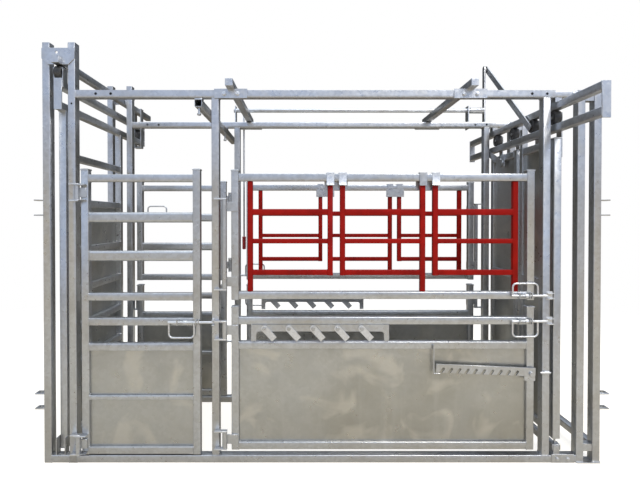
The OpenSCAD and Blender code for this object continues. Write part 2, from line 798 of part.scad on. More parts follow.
module stay_bar() color(GALVANISED) placed()
    translate([stay_pivot[0], 0, stay_pivot[1]]) rotate([0, 2.3, 0]) difference() {
        plate_xz(gate_y - 6, 8) difference() {
            union() {
                translate([-stay_len, -14]) square([stay_len + 22, 46]);
                translate([-36, -38]) square([58, 70]);
            }
            // Hooked notches along the lower edge, leaning towards the pivot
            for (i = [0:stay_notches - 2])
                translate([-stay_len + 24 + i * notch_step, -14]) {
                    polygon([[-8, -1], [6, -1], [21, 19], [9, 26]]);
                    translate([15, 22]) circle(r = 7, $fn = 24);
                }
        }
        rod([0, gate_y - 15, 0], 10, 7.05, Y);
    }

// The far pawls slope the same way as the near ones, and stand a little nearer to the rear
module far_pawls_place() {
    translate([-24, 0, 0]) far_side() children();
}

module lower_gate_far() color(GALVANISED) placed() {
    far_main() lower_gate();
    far_pawls_place() pawl_plate();
}

module lower_latch_far() color(ZINC) placed() far_main() latch(far_main_tip, main_leg, lower_latch_z, -1);

module pawls_far() color(ZINC) placed() far_pawls_place()
    for (x = pawl_x)
        pawl(x);

near_side_frame();
far_side_frame();
rear_outrigger();
head_end_posts();
head_track();
head_floor_guide();
top_cross_tubes();
mid_cross_beam();
panel_lugs();
gate_hinge_pins();
latch_keepers();
crank_bearings();
frame_bolts();
rear_gate();
rear_gate_roller();
rear_tail_roller();
head_leaf_near();
head_leaf_far();
head_roller_1();
head_roller_2();
head_roller_3();
head_roller_4();
crank_shaft();
control_lever();
lever_grip();
link_upper();
link_lower();
vet_gate_near();
vet_latch_near();
upper_gate_near();
upper_latch_near();
needle_near_1();
needle_near_2();
needle_near_3();
saddle_clip_1();
saddle_clip_2();
saddle_clip_3();
lower_gate_near();
lower_latch_near();
pawl_plate_near();
pawl_1();
pawl_2();
pawl_3();
pawl_4();
pawl_5();
stay_bar();
vet_gate_far_upper();
vet_latch_far_upper();
vet_gate_far_lower();
vet_latch_far_lower();
upper_gate_far();
upper_latch_far();
needle_far_1();
needle_far_2();
needle_far_3();
lower_gate_far();
lower_latch_far();
pawls_far();
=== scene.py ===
import math

import bmesh
import bpy
from mathutils import Matrix, Vector
from mathutils.bvhtree import BVHTree


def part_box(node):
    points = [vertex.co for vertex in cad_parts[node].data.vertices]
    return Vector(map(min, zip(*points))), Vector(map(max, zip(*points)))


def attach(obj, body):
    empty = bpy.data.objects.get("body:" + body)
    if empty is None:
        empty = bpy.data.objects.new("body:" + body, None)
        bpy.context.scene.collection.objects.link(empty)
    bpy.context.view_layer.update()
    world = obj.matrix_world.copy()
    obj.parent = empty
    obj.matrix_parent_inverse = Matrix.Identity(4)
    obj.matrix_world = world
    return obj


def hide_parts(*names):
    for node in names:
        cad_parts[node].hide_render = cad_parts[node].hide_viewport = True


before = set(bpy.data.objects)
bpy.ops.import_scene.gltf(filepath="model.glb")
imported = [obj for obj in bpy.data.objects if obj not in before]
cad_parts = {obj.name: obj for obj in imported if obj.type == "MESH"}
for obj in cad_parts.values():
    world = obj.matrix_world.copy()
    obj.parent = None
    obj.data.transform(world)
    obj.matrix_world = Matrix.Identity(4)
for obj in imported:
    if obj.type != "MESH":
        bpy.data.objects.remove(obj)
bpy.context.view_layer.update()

# ---- Camera, floor and light ----
# The viewer stands square to the near side, just left of the middle, at eye-chest height, and looks very
# slightly down. The floor is plain and pale, under one large warm lamp and a wide cool one overhead.

near_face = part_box("vet_gate_near")[1].y - 0.040
stand_off = 2.45
eye = Vector((-0.098, near_face - stand_off, 1.312))
look_down = math.radians(0.6)
bpy.ops.object.camera_add(location=eye, rotation=(math.pi / 2 - look_down, 0, 0))
camera = bpy.context.object
camera.data.lens = 25.8
camera.data.shift_x = 0.0253
camera.data.shift_y = -0.0261
camera.data.clip_end = 100
bpy.context.scene.camera = camera
bpy.context.scene.view_settings.view_transform = "Standard"


def add_node(tree, kind, settings=None, **inputs):
    """A node of a material or of the sky. Each input takes a number, a colour or another node's output."""
    made = tree.nodes.new("ShaderNode" + kind)
    for key, value in (settings or {}).items():
        setattr(made, key, value)
    for key, value in inputs.items():
        socket = made.inputs[key.replace("_", " ")]
        if isinstance(value, bpy.types.NodeSocket):
            tree.links.new(value, socket)
        else:
            socket.default_value = value
    return made


def blend_colour(tree, factor, first, second):
    """Goes from the first colour to the second as the factor goes from 0 to 1."""
    made = add_node(tree, "Mix", {"data_type": "RGBA"})
    for index, value in ((0, factor), (6, first), (7, second)):
        if isinstance(value, bpy.types.NodeSocket):
            tree.links.new(value, made.inputs[index])
        else:
            made.inputs[index].default_value = value if index == 0 else (*value, 1)
    return made.outputs[2]


def spread(tree, value, low, high, to_low=0.0, to_high=1.0, shape="LINEAR"):
    """Stretches the values between low and high over to_low to to_high, and holds them outside."""
    made = add_node(tree, "MapRange", {"interpolation_type": shape}, Value=value, From_Min=low,
                    From_Max=high, To_Min=to_low, To_Max=to_high)
    return made.outputs["Result"]


bpy.ops.object.select_all(action="DESELECT")
bpy.ops.mesh.primitive_plane_add(size=14, location=(0, 0, 0))
floor = bpy.context.object
floor.name = "floor"
floor_paint = bpy.data.materials.new("pale_floor")
floor_paint.use_nodes = True
floor_tree = floor_paint.node_tree
floor_shader = floor_tree.nodes["Principled BSDF"]
floor_shader.inputs["Base Color"].default_value = (0.56, 0.50, 0.40, 1)
floor_shader.inputs["Roughness"].default_value = 0.9
# The floor is lit up for the viewer only, and fades out into the white sweep a few metres away
floor_ray = add_node(floor_tree, "LightPath").outputs["Is Camera Ray"]
floor_lift = add_node(floor_tree, "Math", {"operation": "MULTIPLY"})
floor_lift.inputs[1].default_value = 0.72
floor_tree.links.new(floor_ray, floor_lift.inputs[0])
floor_shader.inputs["Emission Color"].default_value = (1, 1, 1, 1)
floor_tree.links.new(floor_lift.outputs[0], floor_shader.inputs["Emission Strength"])
floor_reach = add_node(floor_tree, "VectorMath", {"operation": "LENGTH"})
floor_tree.links.new(add_node(floor_tree, "TexCoord").outputs["Object"], floor_reach.inputs[0])
floor_fade = spread(floor_tree, floor_reach.outputs["Value"], 1.9, 5.5, 1.0, 0.0)
floor_tree.links.new(floor_fade, floor_shader.inputs["Alpha"])
floor.data.materials.append(floor_paint)


def soft_light(name, place, aim, size, power, colour):
    bpy.ops.object.light_add(type="AREA", location=place)
    lamp = bpy.context.object
    lamp.name = name
    lamp.data.shape = "RECTANGLE"
    lamp.data.size = size[0]
    lamp.data.size_y = size[1]
    lamp.data.energy = power
    lamp.data.color = colour
    lamp.rotation_euler = (Vector(aim) - Vector(place)).to_track_quat("-Z", "Y").to_euler()


soft_light("sun", place=(2.6, -4.4, 6.2), aim=(0, 0, 0.9), size=(2.6, 2.6), power=300,
           colour=(1.0, 0.96, 0.90))
soft_light("sky_over", place=(0.0, 0.4, 6.5), aim=(0, 0, 1), size=(5, 5), power=90,
           colour=(0.86, 0.93, 1.0))

world = bpy.data.worlds.new("open_yard")
bpy.context.scene.world = world
world.use_nodes = True
sky = world.node_tree
sky.nodes.clear()


def sky_range(value, low, high):
    return spread(sky, value, low, high, shape="SMOOTHSTEP")


def sky_band(value, low, high):
    """1 in the middle of a band of heights, falling to 0 at its two edges."""
    middle = (low + high) / 2
    made = add_node(sky, "Math", {"operation": "MINIMUM"})
    sky.links.new(sky_range(value, low, middle), made.inputs[0])
    sky.links.new(sky_range(value, high, middle), made.inputs[1])
    return made.outputs[0]


# In front there is open blue sky over a sandy yard with a dull line along the horizon, behind there is a
# dark tree line, and the sky is brightest overhead. The viewer sees only a white sweep.
yard_sand = (0.74, 0.655, 0.52)
near_sand = (0.50, 0.43, 0.34)
horizon = (0.33, 0.31, 0.27)
blue_sky = (0.66, 0.78, 1.02)
shaded_ground = (0.12, 0.10, 0.075)
trees = (0.045, 0.046, 0.038)
sky_behind = (0.45, 0.52, 0.66)
sky_overhead = (1.3, 1.4, 1.5)
sky_way = add_node(sky, "SeparateXYZ", Vector=add_node(sky, "TexCoord").outputs["Generated"])
up = sky_way.outputs["Z"]
back = sky_range(sky_way.outputs["Y"], -0.15, 0.25)
in_front = blend_colour(sky, sky_range(up, -0.06, 0.10), yard_sand, blue_sky)
in_front = blend_colour(sky, sky_range(up, -0.75, -0.25), near_sand, in_front)
in_front = blend_colour(sky, sky_band(up, -0.10, 0.05), in_front, horizon)
behind = blend_colour(sky, sky_range(up, -0.10, 0.10), shaded_ground, trees)
behind = blend_colour(sky, sky_range(up, 0.22, 0.60), behind, sky_behind)
around = blend_colour(sky, back, in_front, behind)
around = blend_colour(sky, sky_range(up, 0.45, 0.95), around, sky_overhead)
sky_glow = add_node(sky, "Background", Color=around, Strength=1.0)
sky_seen = add_node(sky, "Background", Color=(1, 1, 1, 1), Strength=1.0)
sky_mix = add_node(sky, "MixShader", Fac=add_node(sky, "LightPath").outputs["Is Camera Ray"])
sky.links.new(sky_glow.outputs[0], sky_mix.inputs[1])
sky.links.new(sky_seen.outputs[0], sky_mix.inputs[2])
add_node(sky, "OutputWorld", Surface=sky_mix.outputs[0])

# ---- Side frames ----
# Each side is one welded frame of 40 x 50 box tube, dipped in zinc after welding. The zinc sets in a
# flowery grain with cloudy patches, runs down the posts, and dulls to a warm grey near the floor.


def zinc_coat(name, light, dark, stain, metallic, grain, cloud=2.6, cloud_depth=0.5, bloom=0.0):
    """Hot-dip zinc. Light and dark are the two greys of its flowers, and grain is how many fit in a metre.
    Stain is the warm tone of the cloudy patches, and bloom is how strongly the pale storage marks show."""
    pale_mark = (0.70, 0.67, 0.60)
    # A darker, warmer grey that the zinc is blended towards low down, near the floor
    warm_grey_low = (0.30, 0.27, 0.23)
    material = bpy.data.materials.new(name)
    material.use_nodes = True
    tree = material.node_tree
    shader = tree.nodes["Principled BSDF"]
    place = add_node(tree, "TexCoord").outputs["Object"]
    flowers = add_node(tree, "TexVoronoi", {"feature": "F1"}, Vector=place, Scale=grain, Randomness=0.9)
    flower_tone = add_node(tree, "SeparateColor", Color=flowers.outputs["Color"]).outputs[0]
    clouds = add_node(tree, "TexNoise", Vector=place, Scale=cloud, Detail=5.0, Roughness=0.6).outputs[0]
    mottle = add_node(tree, "TexNoise", Vector=place, Scale=cloud * 8, Detail=4.0, Roughness=0.65).outputs[0]
    down = add_node(tree, "Mapping", Vector=place)
    down.inputs["Scale"].default_value = (14, 14, 1.1)
    runs = add_node(tree, "TexNoise", Vector=down.outputs[0], Scale=1.6, Detail=4.0, Roughness=0.55)
    tone = blend_colour(tree, spread(tree, flower_tone, 0.0, 1.0, 0.45, 0.85), dark, light)
    tone = blend_colour(tree, spread(tree, mottle, 0.46, 0.70, 0.0, 0.28), tone, dark)
    tone = blend_colour(tree, spread(tree, clouds, 0.46, 0.70, 0.0, cloud_depth), tone, stain)
    tone = blend_colour(tree, spread(tree, runs.outputs[0], 0.52, 0.74, 0.0, 0.30), tone, light)
    if bloom:
        marks = add_node(tree, "TexNoise", Vector=place, Scale=cloud * 3.6, Detail=3.0, Roughness=0.5,
                         Distortion=0.7).outputs[0]
        tone = blend_colour(tree, spread(tree, marks, 0.54, 0.64, 0.0, bloom), tone, pale_mark)
        tone = blend_colour(tree, spread(tree, marks, 0.40, 0.37, 0.0, bloom * 0.8), tone, dark)
    # Darker and warmer towards the floor: the colour is blended towards that grey up to about 0.4 m above
    # the floor, with a mottled upper edge.
    height = add_node(tree, "SeparateXYZ", Vector=place).outputs["Z"]
    height_and_mottle = add_node(tree, "Math", {"operation": "MULTIPLY_ADD"})
    tree.links.new(mottle, height_and_mottle.inputs[0])
    height_and_mottle.inputs[1].default_value = 0.5
    tree.links.new(height, height_and_mottle.inputs[2])
    low_down_mask = spread(tree, height_and_mottle.outputs[0], 0.22, 0.62, 0.16, 0.0)
    tone = blend_colour(tree, low_down_mask, tone, warm_grey_low)
    tree.links.new(tone, shader.inputs["Base Color"])
    shader.inputs["Metallic"].default_value = metallic
    rough = add_node(tree, "Math", {"operation": "MULTIPLY_ADD"})
    tree.links.new(flower_tone, rough.inputs[0])
    rough.inputs[1].default_value = 0.10
    tree.links.new(spread(tree, mottle, 0.3, 0.7, 0.24, 0.36), rough.inputs[2])
    tree.links.new(rough.outputs[0], shader.inputs["Roughness"])
    relief = add_node(tree, "Bump", Strength=0.08, Distance=0.002, Height=flower_tone)
    lumps = add_node(tree, "Bump", Strength=0.09, Distance=0.004, Height=mottle, Normal=relief.outputs[0])
    tree.links.new(lumps.outputs[0], shader.inputs["Normal"])
    return material


frame_zinc = zinc_coat("galvanised_tube", light=(0.60, 0.615, 0.64), dark=(0.42, 0.425, 0.435),
                       stain=(0.40, 0.375, 0.33), metallic=0.94, grain=75.0)


def pick_only(piece):
    bpy.ops.object.select_all(action="DESELECT")
    piece.select_set(True)
    bpy.context.view_layer.objects.active = piece


def is_rolled_corner(edge, radius):
    """True for a long outer corner between two faces that are wide enough for the radius."""
    if len(edge.link_faces) != 2 or not edge.is_convex:
        return False
    length = edge.calc_length()
    if length < 0.055 or edge.calc_face_angle() < math.radians(60):
        return False
    return all(face.calc_area() / length > 2.4 * radius for face in edge.link_faces)


def is_cut_edge(edge, shortest):
    if len(edge.link_faces) != 2 or not edge.is_convex:
        return False
    return edge.calc_length() > shortest and edge.calc_face_angle() > math.radians(50)


def bevel_where(piece, test, size, radius, segments):
    """Bevels the edges of piece for which test(edge, size) holds."""
    bpy.ops.object.mode_set(mode="EDIT")
    bpy.ops.mesh.select_mode(type="EDGE")
    bpy.ops.mesh.select_all(action="DESELECT")
    work = bmesh.from_edit_mesh(piece.data)
    for edge in work.edges:
        edge.select_set(test(edge, size))
    bmesh.update_edit_mesh(piece.data)
    bpy.ops.mesh.bevel(offset=radius, segments=segments, affect="EDGES", clamp_overlap=False)
    bpy.ops.object.mode_set(mode="OBJECT")


def edit_faces(piece, test):
    """Opens piece in edit mode with just the faces selected for which test(face) holds."""
    bpy.ops.object.mode_set(mode="EDIT")
    bpy.ops.mesh.select_mode(type="FACE")
    bpy.ops.mesh.select_all(action="DESELECT")
    work = bmesh.from_edit_mesh(piece.data)
    for face in work.faces:
        face.select_set(test(face))
    bmesh.update_edit_mesh(piece.data)


def faces_up(face):
    return face.normal.z > 0.9


def steel_copy(node, name, corner=0.0042, sheared=0.0007):
    """The node's own shape as one clean mesh, with rolled tube corners and broken edges on cut plate."""
    piece = bpy.data.objects.new(name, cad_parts[node].data.copy())
    bpy.context.collection.objects.link(piece)
    pick_only(piece)
    if piece.data.has_custom_normals:
        bpy.ops.mesh.customdata_custom_splitnormals_clear()
    piece.data.materials.clear()
    bpy.ops.object.mode_set(mode="EDIT")
    bpy.ops.mesh.select_all(action="SELECT")
    bpy.ops.mesh.remove_doubles(threshold=0.00002)
    bpy.ops.mesh.dissolve_limited(angle_limit=math.radians(0.4))
    bpy.ops.object.mode_set(mode="OBJECT")
    if corner:
        bevel_where(piece, is_rolled_corner, corner, corner, 3)
    if sheared:
        bevel_where(piece, is_cut_edge, 0.006, sheared, 1)
    bpy.ops.object.shade_smooth_by_angle(angle=math.radians(38))
    return piece


def islands(mesh):
    """The separate solids of a mesh, each as (lowest corner, highest corner, points)."""
    work = bmesh.new()
    work.from_mesh(mesh)
    bmesh.ops.remove_doubles(work, verts=work.verts, dist=0.00002)
    seen = set()
    found = []
    for start in work.verts:
        if start in seen:
            continue
        seen.add(start)
        waiting = [start]
        points = []
        while waiting:
            vertex = waiting.pop()
            points.append(vertex.co.copy())
            for edge in vertex.link_edges:
                other = edge.other_vert(vertex)
                if other not in seen:
                    seen.add(other)
                    waiting.append(other)
        low = Vector([min(p[i] for p in points) for i in range(3)])
        high = Vector([max(p[i] for p in points) for i in range(3)])
        found.append((low, high, points))
    work.free()
    return found


def tube_ends(node):
    """Each open end of each box tube: centre, axis number, outward sign, section, welded or not."""
    solids = bmesh.new()
    solids.from_mesh(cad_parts[node].data)
    surface = BVHTree.FromBMesh(solids)
    solids.free()
    ends = []
    for low, high, points in islands(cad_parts[node].data):
        size = high - low
        axis = max(range(3), key=lambda i: size[i])
        across = [i for i in range(3) if i != axis]
        section = [size[i] for i in across]
        # Box tubes only: 22 to 58 mm across, and at least 70 mm long
        if min(section) < 0.022 or max(section) > 0.058 or size[axis] < 0.07:
            continue
        for sign in (-1, 1):
            level = (high if sign > 0 else low)[axis]
            rim = [p for p in points if abs(p[axis] - level) < 0.00005]
            if len(rim) < 8:
                continue
            centre = (low + high) / 2
            centre[axis] = level
            outward = Vector((0, 0, 0))
            outward[axis] = sign
            hits = 0
            for u in (-1, 1):
                for v in (-1, 1):
                    probe = centre + outward * 0.00005
                    probe[across[0]] += u * (section[0] / 2 - 0.0015)
                    probe[across[1]] += v * (section[1] / 2 - 0.0015)
                    if surface.ray_cast(probe, outward, 0.003)[0] is not None:
                        hits += 1
            ends.append((centre, axis, sign, section, hits >= 2))
    return ends


def turn_to(axis, sign=1):
    """The turn that takes +Z to an axis, with the section's own sides kept along the row's axes."""
    if axis == 2:
        return Matrix.Identity(3) if sign > 0 else Matrix.Diagonal((1, -1, -1))
    if axis == 0:
        return Matrix(((0, 0, sign), (1, 0, 0), (0, sign, 0)))
    return Matrix(((1, 0, 0), (0, 0, sign), (0, -sign, 0)))


bead_models = {}


def weld_bead(section):
    """A fillet run round a tube: a closed line of overlapping ripples, a little over 4 mm wide."""
    key = tuple(round(s, 3) for s in section)
    if key in bead_models:
        return bead_models[key]
    bpy.ops.object.select_all(action="DESELECT")
    bpy.ops.mesh.primitive_plane_add(size=1)
    bead = bpy.context.object
    bead.data.transform(Matrix.Diagonal((section[0] - 0.0012, section[1] - 0.0012, 1, 1)))
    bpy.ops.object.mode_set(mode="EDIT")
    bpy.ops.mesh.delete(type="ONLY_FACE")
    bpy.ops.mesh.select_all(action="SELECT")
    bpy.ops.mesh.subdivide(number_cuts=9)
    bpy.ops.object.mode_set(mode="OBJECT")
    bpy.ops.object.convert(target="CURVE")
    bead = bpy.context.object
    for i, point in enumerate(bead.data.splines[0].points):
        point.radius = 1.15 if i % 2 else 0.85
    bead.data.bevel_depth = 0.0024
    bead.data.bevel_resolution = 1
    bpy.ops.object.convert(target="MESH")
    bead = bpy.context.object
    bead_models[key] = bead.data.copy()
    bpy.data.objects.remove(bead)
    return bead_models[key]


cap_models = {}


def end_cap(section):
    """A thin steel plate that closes a tube's end, a little smaller than the tube, with a broken edge."""
    key = tuple(round(s, 3) for s in section)
    if key in cap_models:
        return cap_models[key]
    bpy.ops.object.select_all(action="DESELECT")
    bpy.ops.mesh.primitive_cube_add(size=1)
    cap = bpy.context.object
    cap.data.transform(Matrix.Diagonal((section[0] - 0.002, section[1] - 0.002, 0.004, 1)))
    bpy.ops.object.mode_set(mode="EDIT")
    bpy.ops.mesh.select_all(action="SELECT")
    bpy.ops.mesh.bevel(offset=0.0012, segments=2, affect="EDGES")
    bpy.ops.object.mode_set(mode="OBJECT")
    cap_models[key] = cap.data.copy()
    bpy.data.objects.remove(cap)
    return cap_models[key]


def post_cap(section):
    """A pressed cap that closes an upright's top: a lip a little wider than the tube under a low dome."""
    key = ("post", *(round(s, 3) for s in section))
    if key in cap_models:
        return cap_models[key]
    bpy.ops.object.select_all(action="DESELECT")
    bpy.ops.mesh.primitive_cube_add(size=1)
    cap = bpy.context.object
    cap.data.transform(Matrix.Diagonal((section[0] + 0.004, section[1] + 0.004, 0.006, 1)))
    edit_faces(cap, faces_up)
    for inset, rise in ((0.004, 0.0025), (0.006, 0.0015)):
        bpy.ops.mesh.inset(thickness=inset)
        bpy.ops.transform.translate(value=(0, 0, rise))
    bpy.ops.object.mode_set(mode="OBJECT")
    bevel_where(cap, is_cut_edge, 0.004, 0.0014, 2)
    cap_models[key] = cap.data.copy()
    bpy.data.objects.remove(cap)
    return cap_models[key]


def joined(parts, name):
    """Several placed meshes, as [(mesh, matrix), ...], made into one piece."""
    made = []
    for mesh, matrix in parts:
        part = bpy.data.objects.new(name, mesh.copy())
        part.data.transform(matrix)
        bpy.context.collection.objects.link(part)
        made.append(part)
    bpy.ops.object.select_all(action="DESELECT")
    for part in made:
        part.select_set(True)
    bpy.context.view_layer.objects.active = made[0]
    if len(made) > 1:
        bpy.ops.object.join()
    piece = bpy.context.object
    piece.name = name
    return piece


def finish_piece(piece, body, material):
    piece.data.materials.clear()
    piece.data.materials.append(material)
    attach(piece, body)
    return piece


def welds_and_caps(node, body, name, material, upright_caps=True):
    """Runs a bead round each tube end that meets steel, and closes each end that is left free."""
    beads = []
    caps = []
    for centre, axis, sign, section, welded in tube_ends(node):
        matrix = Matrix.Translation(centre) @ turn_to(axis, sign).to_4x4()
        if welded:
            beads.append((weld_bead(section), matrix))
        elif upright_caps and axis == 2 and sign > 0:
            caps.append((post_cap(section), matrix))
        else:
            caps.append((end_cap(section), matrix))
    if beads:
        piece = joined(beads, name + "_welds")
        pick_only(piece)
        bpy.ops.object.shade_smooth()
        finish_piece(piece, body, material)
    if caps:
        finish_piece(joined(caps, name + "_end_caps"), body, material)


for side in ("near", "far"):
    node = side + "_side_frame"
    tubes = finish_piece(steel_copy(node, side + "_frame_tubes"), "frame", frame_zinc)
    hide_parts(node)
    welds_and_caps(node, "frame", side + "_frame", frame_zinc)

# ---- Head-end posts, cross tubes and the rear outrigger ----
# Straight lengths of the same tube, sawn square, welded or bolted across the two side frames. The
# outrigger is a single beam through the rear posts, held by a chamfered gusset on each side.

for node, name in (
    ("head_end_posts", "head_end_tubes"),
    ("top_cross_tubes", "cross_tubes"),
    ("mid_cross_beam", "cross_beam"),
    ("rear_outrigger", "outrigger_beam"),
    ("head_track", "head_gate_track"),
    ("head_floor_guide", "floor_guide"),
):
    tubes = finish_piece(steel_copy(node, name), "frame", frame_zinc)
    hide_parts(node)
    welds_and_caps(node, "frame", name, frame_zinc)

# The cross tubes run on past the side frames, and their four open ends are capped
low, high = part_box("top_cross_tubes")
cross_tube = 0.04
from_plate_end = 0.088
cap_parts = []
for x in (low.x + from_plate_end, high.x - from_plate_end):
    for y, sign in ((low.y, -1), (high.y, 1)):
        place = Matrix.Translation((x, y + sign * 0.001, high.z - cross_tube / 2))
        cap_parts.append((end_cap((cross_tube, cross_tube)), place @ turn_to(1, sign).to_4x4()))
finish_piece(joined(cap_parts, "cross_tube_end_caps"), "frame", frame_zinc)

# ---- Plates, lugs and bearings welded to the frame ----
# Small parts cut from flat bar: the paired lugs for the next race panel, the hinge lugs with their
# turned pins, the open latch keepers, and the two plates that carry the operating shaft.

pin_zinc = zinc_coat("zinc_plated", light=(0.78, 0.79, 0.80), dark=(0.55, 0.55, 0.56),
                     stain=(0.56, 0.54, 0.50), metallic=0.85, grain=120.0, cloud=6.0, cloud_depth=0.3)

for node, name, material, slot in (
    ("panel_lugs", "race_panel_lugs", frame_zinc, "galvanised_frame"),
    ("gate_hinge_pins", "hinge_lugs_and_pins", pin_zinc, "zinc_plated"),
    ("latch_keepers", "keepers_and_stay_pin", pin_zinc, "galvanised_frame"),
    ("crank_bearings", "shaft_bearing_plates", frame_zinc, "galvanised_frame"),
):
    plates = finish_piece(steel_copy(node, name, corner=0, sheared=0.001), "frame", material)
    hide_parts(node)

# ---- Frame bolts ----
# Hexagon heads with a chamfered top and a round washer, where the cross tubes' plates, the rail
# extensions and the joining plates are bolted up.


def hex_bolt(across, thick):
    """A bolt head that stands on z = 0, with its washer, modelled once for each size."""
    bpy.ops.object.select_all(action="DESELECT")
    washer_thick = 0.0018
    bpy.ops.mesh.primitive_cylinder_add(vertices=24, radius=across * 0.62, depth=washer_thick,
                                        location=(0, 0, washer_thick / 2))
    washer = bpy.context.object
    bevel_where(washer, is_cut_edge, 0.0005, 0.0004, 1)
    bpy.ops.object.select_all(action="DESELECT")
    bpy.ops.mesh.primitive_cylinder_add(vertices=6, radius=across / 2, depth=thick,
                                        location=(0, 0, thick / 2 + washer_thick))
    head = bpy.context.object
    edit_faces(head, faces_up)
    for inset, rise in ((0.07, 0.16), (0.12, 0.05)):
        bpy.ops.mesh.inset(thickness=across * inset)
        bpy.ops.transform.translate(value=(0, 0, thick * rise))
    bpy.ops.object.mode_set(mode="OBJECT")
    bevel_where(head, is_cut_edge, 0.002, 0.0005, 1)
    head.data.transform(head.matrix_world)
    head.matrix_world = Matrix.Identity(4)
    washer.data.transform(washer.matrix_world)
    washer.matrix_world = Matrix.Identity(4)
    washer.select_set(True)
    head.select_set(True)
    bpy.context.view_layer.objects.active = head
    bpy.ops.object.join()
    mesh = head.data.copy()
    bpy.data.objects.remove(head)
    return mesh


head_across = 0.024
bolt_model = hex_bolt(head_across, 0.008)
bolt_parts = []
centre_line = sum(corner.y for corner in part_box("head_track")) / 2
for low, high, _ in islands(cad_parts["frame_bolts"].data):
    centre = (low + high) / 2
    sign = -1 if centre.y < centre_line else 1
    base = centre.copy()
    base.y = high.y if sign < 0 else low.y
    scale = (high.z - low.z) / head_across
    place = Matrix.Translation(base) @ turn_to(1, sign).to_4x4() @ Matrix.Diagonal((scale, scale, 0.8, 1))
    bolt_parts.append((bolt_model, place))
bolts = finish_piece(joined(bolt_parts, "hex_bolts"), "frame", pin_zinc)
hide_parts("frame_bolts")

# ---- Rear sliding gate ----
# A tall leaf of box tube with a sheet on its outer side, hung under two long rails that slide across
# the rear posts. One roller turns in a fork on the gate, the other in a drop bracket on the beam.

gate_zinc = zinc_coat("galvanised_gate_tube", light=(0.60, 0.615, 0.635), dark=(0.42, 0.425, 0.43),
                      stain=(0.40, 0.375, 0.33), metallic=0.94, grain=75.0)
sheet_zinc = zinc_coat("galvanised_sheet", light=(0.52, 0.52, 0.50), dark=(0.42, 0.42, 0.40),
                       stain=(0.35, 0.335, 0.29), metallic=0.95, grain=60.0, cloud=1.2, cloud_depth=0.85,
                       bloom=0.42)


def with_sheets(piece, tube_material, sheet_material):
    """Gives the thin sheets in a gate their own finish, and its tubes theirs."""
    piece.data.materials.append(tube_material)
    piece.data.materials.append(sheet_material)
    boxes = []
    for low, high, _ in islands(piece.data):
        size = sorted(high - low)
        # A sheet is 3 mm thick, and more than 150 mm wide
        if size[0] < 0.0035 and size[1] > 0.15:
            boxes.append((low, high))
    for face in piece.data.polygons:
        c = face.center
        for low, high in boxes:
            if all(low[i] - 0.00005 <= c[i] <= high[i] + 0.00005 for i in range(3)):
                face.material_index = 1
                break


def dress_gate(node):
    piece = steel_copy(node, node + "_tubes")
    with_sheets(piece, gate_zinc, sheet_zinc)
    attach(piece, node)
    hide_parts(node)
    welds_and_caps(node, node, node, gate_zinc)


dress_gate("rear_gate")

# ---- Rollers ----
# Turned from black nylon bar: a flat tread with chamfered shoulders, a recessed face on each side,
# and a raised hub round the axle.


def black_nylon():
    material = bpy.data.materials.new("black_nylon")
    material.use_nodes = True
    tree = material.node_tree
    shader = tree.nodes["Principled BSDF"]
    place = add_node(tree, "TexCoord").outputs["Object"]
    scuff = add_node(tree, "TexNoise", Vector=place, Scale=55.0, Detail=5.0, Roughness=0.7).outputs[0]
    tone = blend_colour(tree, spread(tree, scuff, 0.45, 0.7), (0.020, 0.020, 0.022), (0.075, 0.072, 0.068))
    tree.links.new(tone, shader.inputs["Base Color"])
    tree.links.new(spread(tree, scuff, 0.3, 0.7, 0.36, 0.62), shader.inputs["Roughness"])
    relief = add_node(tree, "Bump", Strength=0.15, Distance=0.001, Height=scuff)
    tree.links.new(relief.outputs[0], shader.inputs["Normal"])
    return material


nylon = black_nylon()


def turned_roller(node):
    low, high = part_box(node)
    centre = (low + high) / 2
    radius = (high.z - low.z) / 2
    width = high.x - low.x
    bpy.ops.object.select_all(action="DESELECT")
    bpy.ops.mesh.primitive_cylinder_add(vertices=48, radius=radius, depth=width)
    piece = bpy.context.object
    piece.name = node + "_turned"
    for face_up in (1, -1):
        edit_faces(piece, lambda face: face.normal.z * face_up > 0.9)
        bpy.ops.mesh.inset(thickness=radius * 0.16)
        bpy.ops.mesh.inset(thickness=radius * 0.05)
        bpy.ops.transform.translate(value=(0, 0, -face_up * width * 0.10))
        bpy.ops.mesh.inset(thickness=radius * 0.34)
        bpy.ops.mesh.inset(thickness=radius * 0.04)
        bpy.ops.transform.translate(value=(0, 0, face_up * width * 0.09))
        bpy.ops.mesh.inset(thickness=radius * 0.19 - 0.0002)
        bpy.ops.transform.translate(value=(0, 0, -face_up * width * 0.05))
        bpy.ops.object.mode_set(mode="OBJECT")
    bevel_where(piece, is_cut_edge, 0.001, 0.0014, 2)
    piece.data.transform(Matrix.Translation(centre) @ turn_to(0).to_4x4())
    pick_only(piece)
    bpy.ops.object.shade_smooth_by_angle(angle=math.radians(35))
    finish_piece(piece, node, nylon)
    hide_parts(node)


for node in ("rear_gate_roller", "rear_tail_roller", *(f"head_roller_{number}" for number in (1, 2, 3, 4))):
    turned_roller(node)

# ---- Head gate leaves ----
# Two sheeted leaves that hang from the track by flat hangers and close on the animal's neck. Each foot
# runs on the floor guide in a folded shoe. Each leaf is a tube frame with a sheet set back in it.

for node in ("head_leaf_near", "head_leaf_far"):
    dress_gate(node)

# ---- Head gate operating gear ----
# A tube shaft along the far top rail, a two-ended crank arm at its head end, two flat-bar links to the
# leaves, and a thin hand lever that hangs at the rear end with a red ribbed grip.

for node, body, name in (
    ("crank_shaft", "crank", "operating_shaft"),
    ("link_upper", "link_upper", "upper_link_bar"),
    ("link_lower", "link_lower", "lower_link_bar"),
):
    bar = finish_piece(steel_copy(node, name, corner=0, sheared=0.001), body, frame_zinc)
    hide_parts(node)
rod = steel_copy("control_lever", "lever_rod", corner=0, sheared=0)
finish_piece(rod, "crank", pin_zinc)
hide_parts("control_lever")


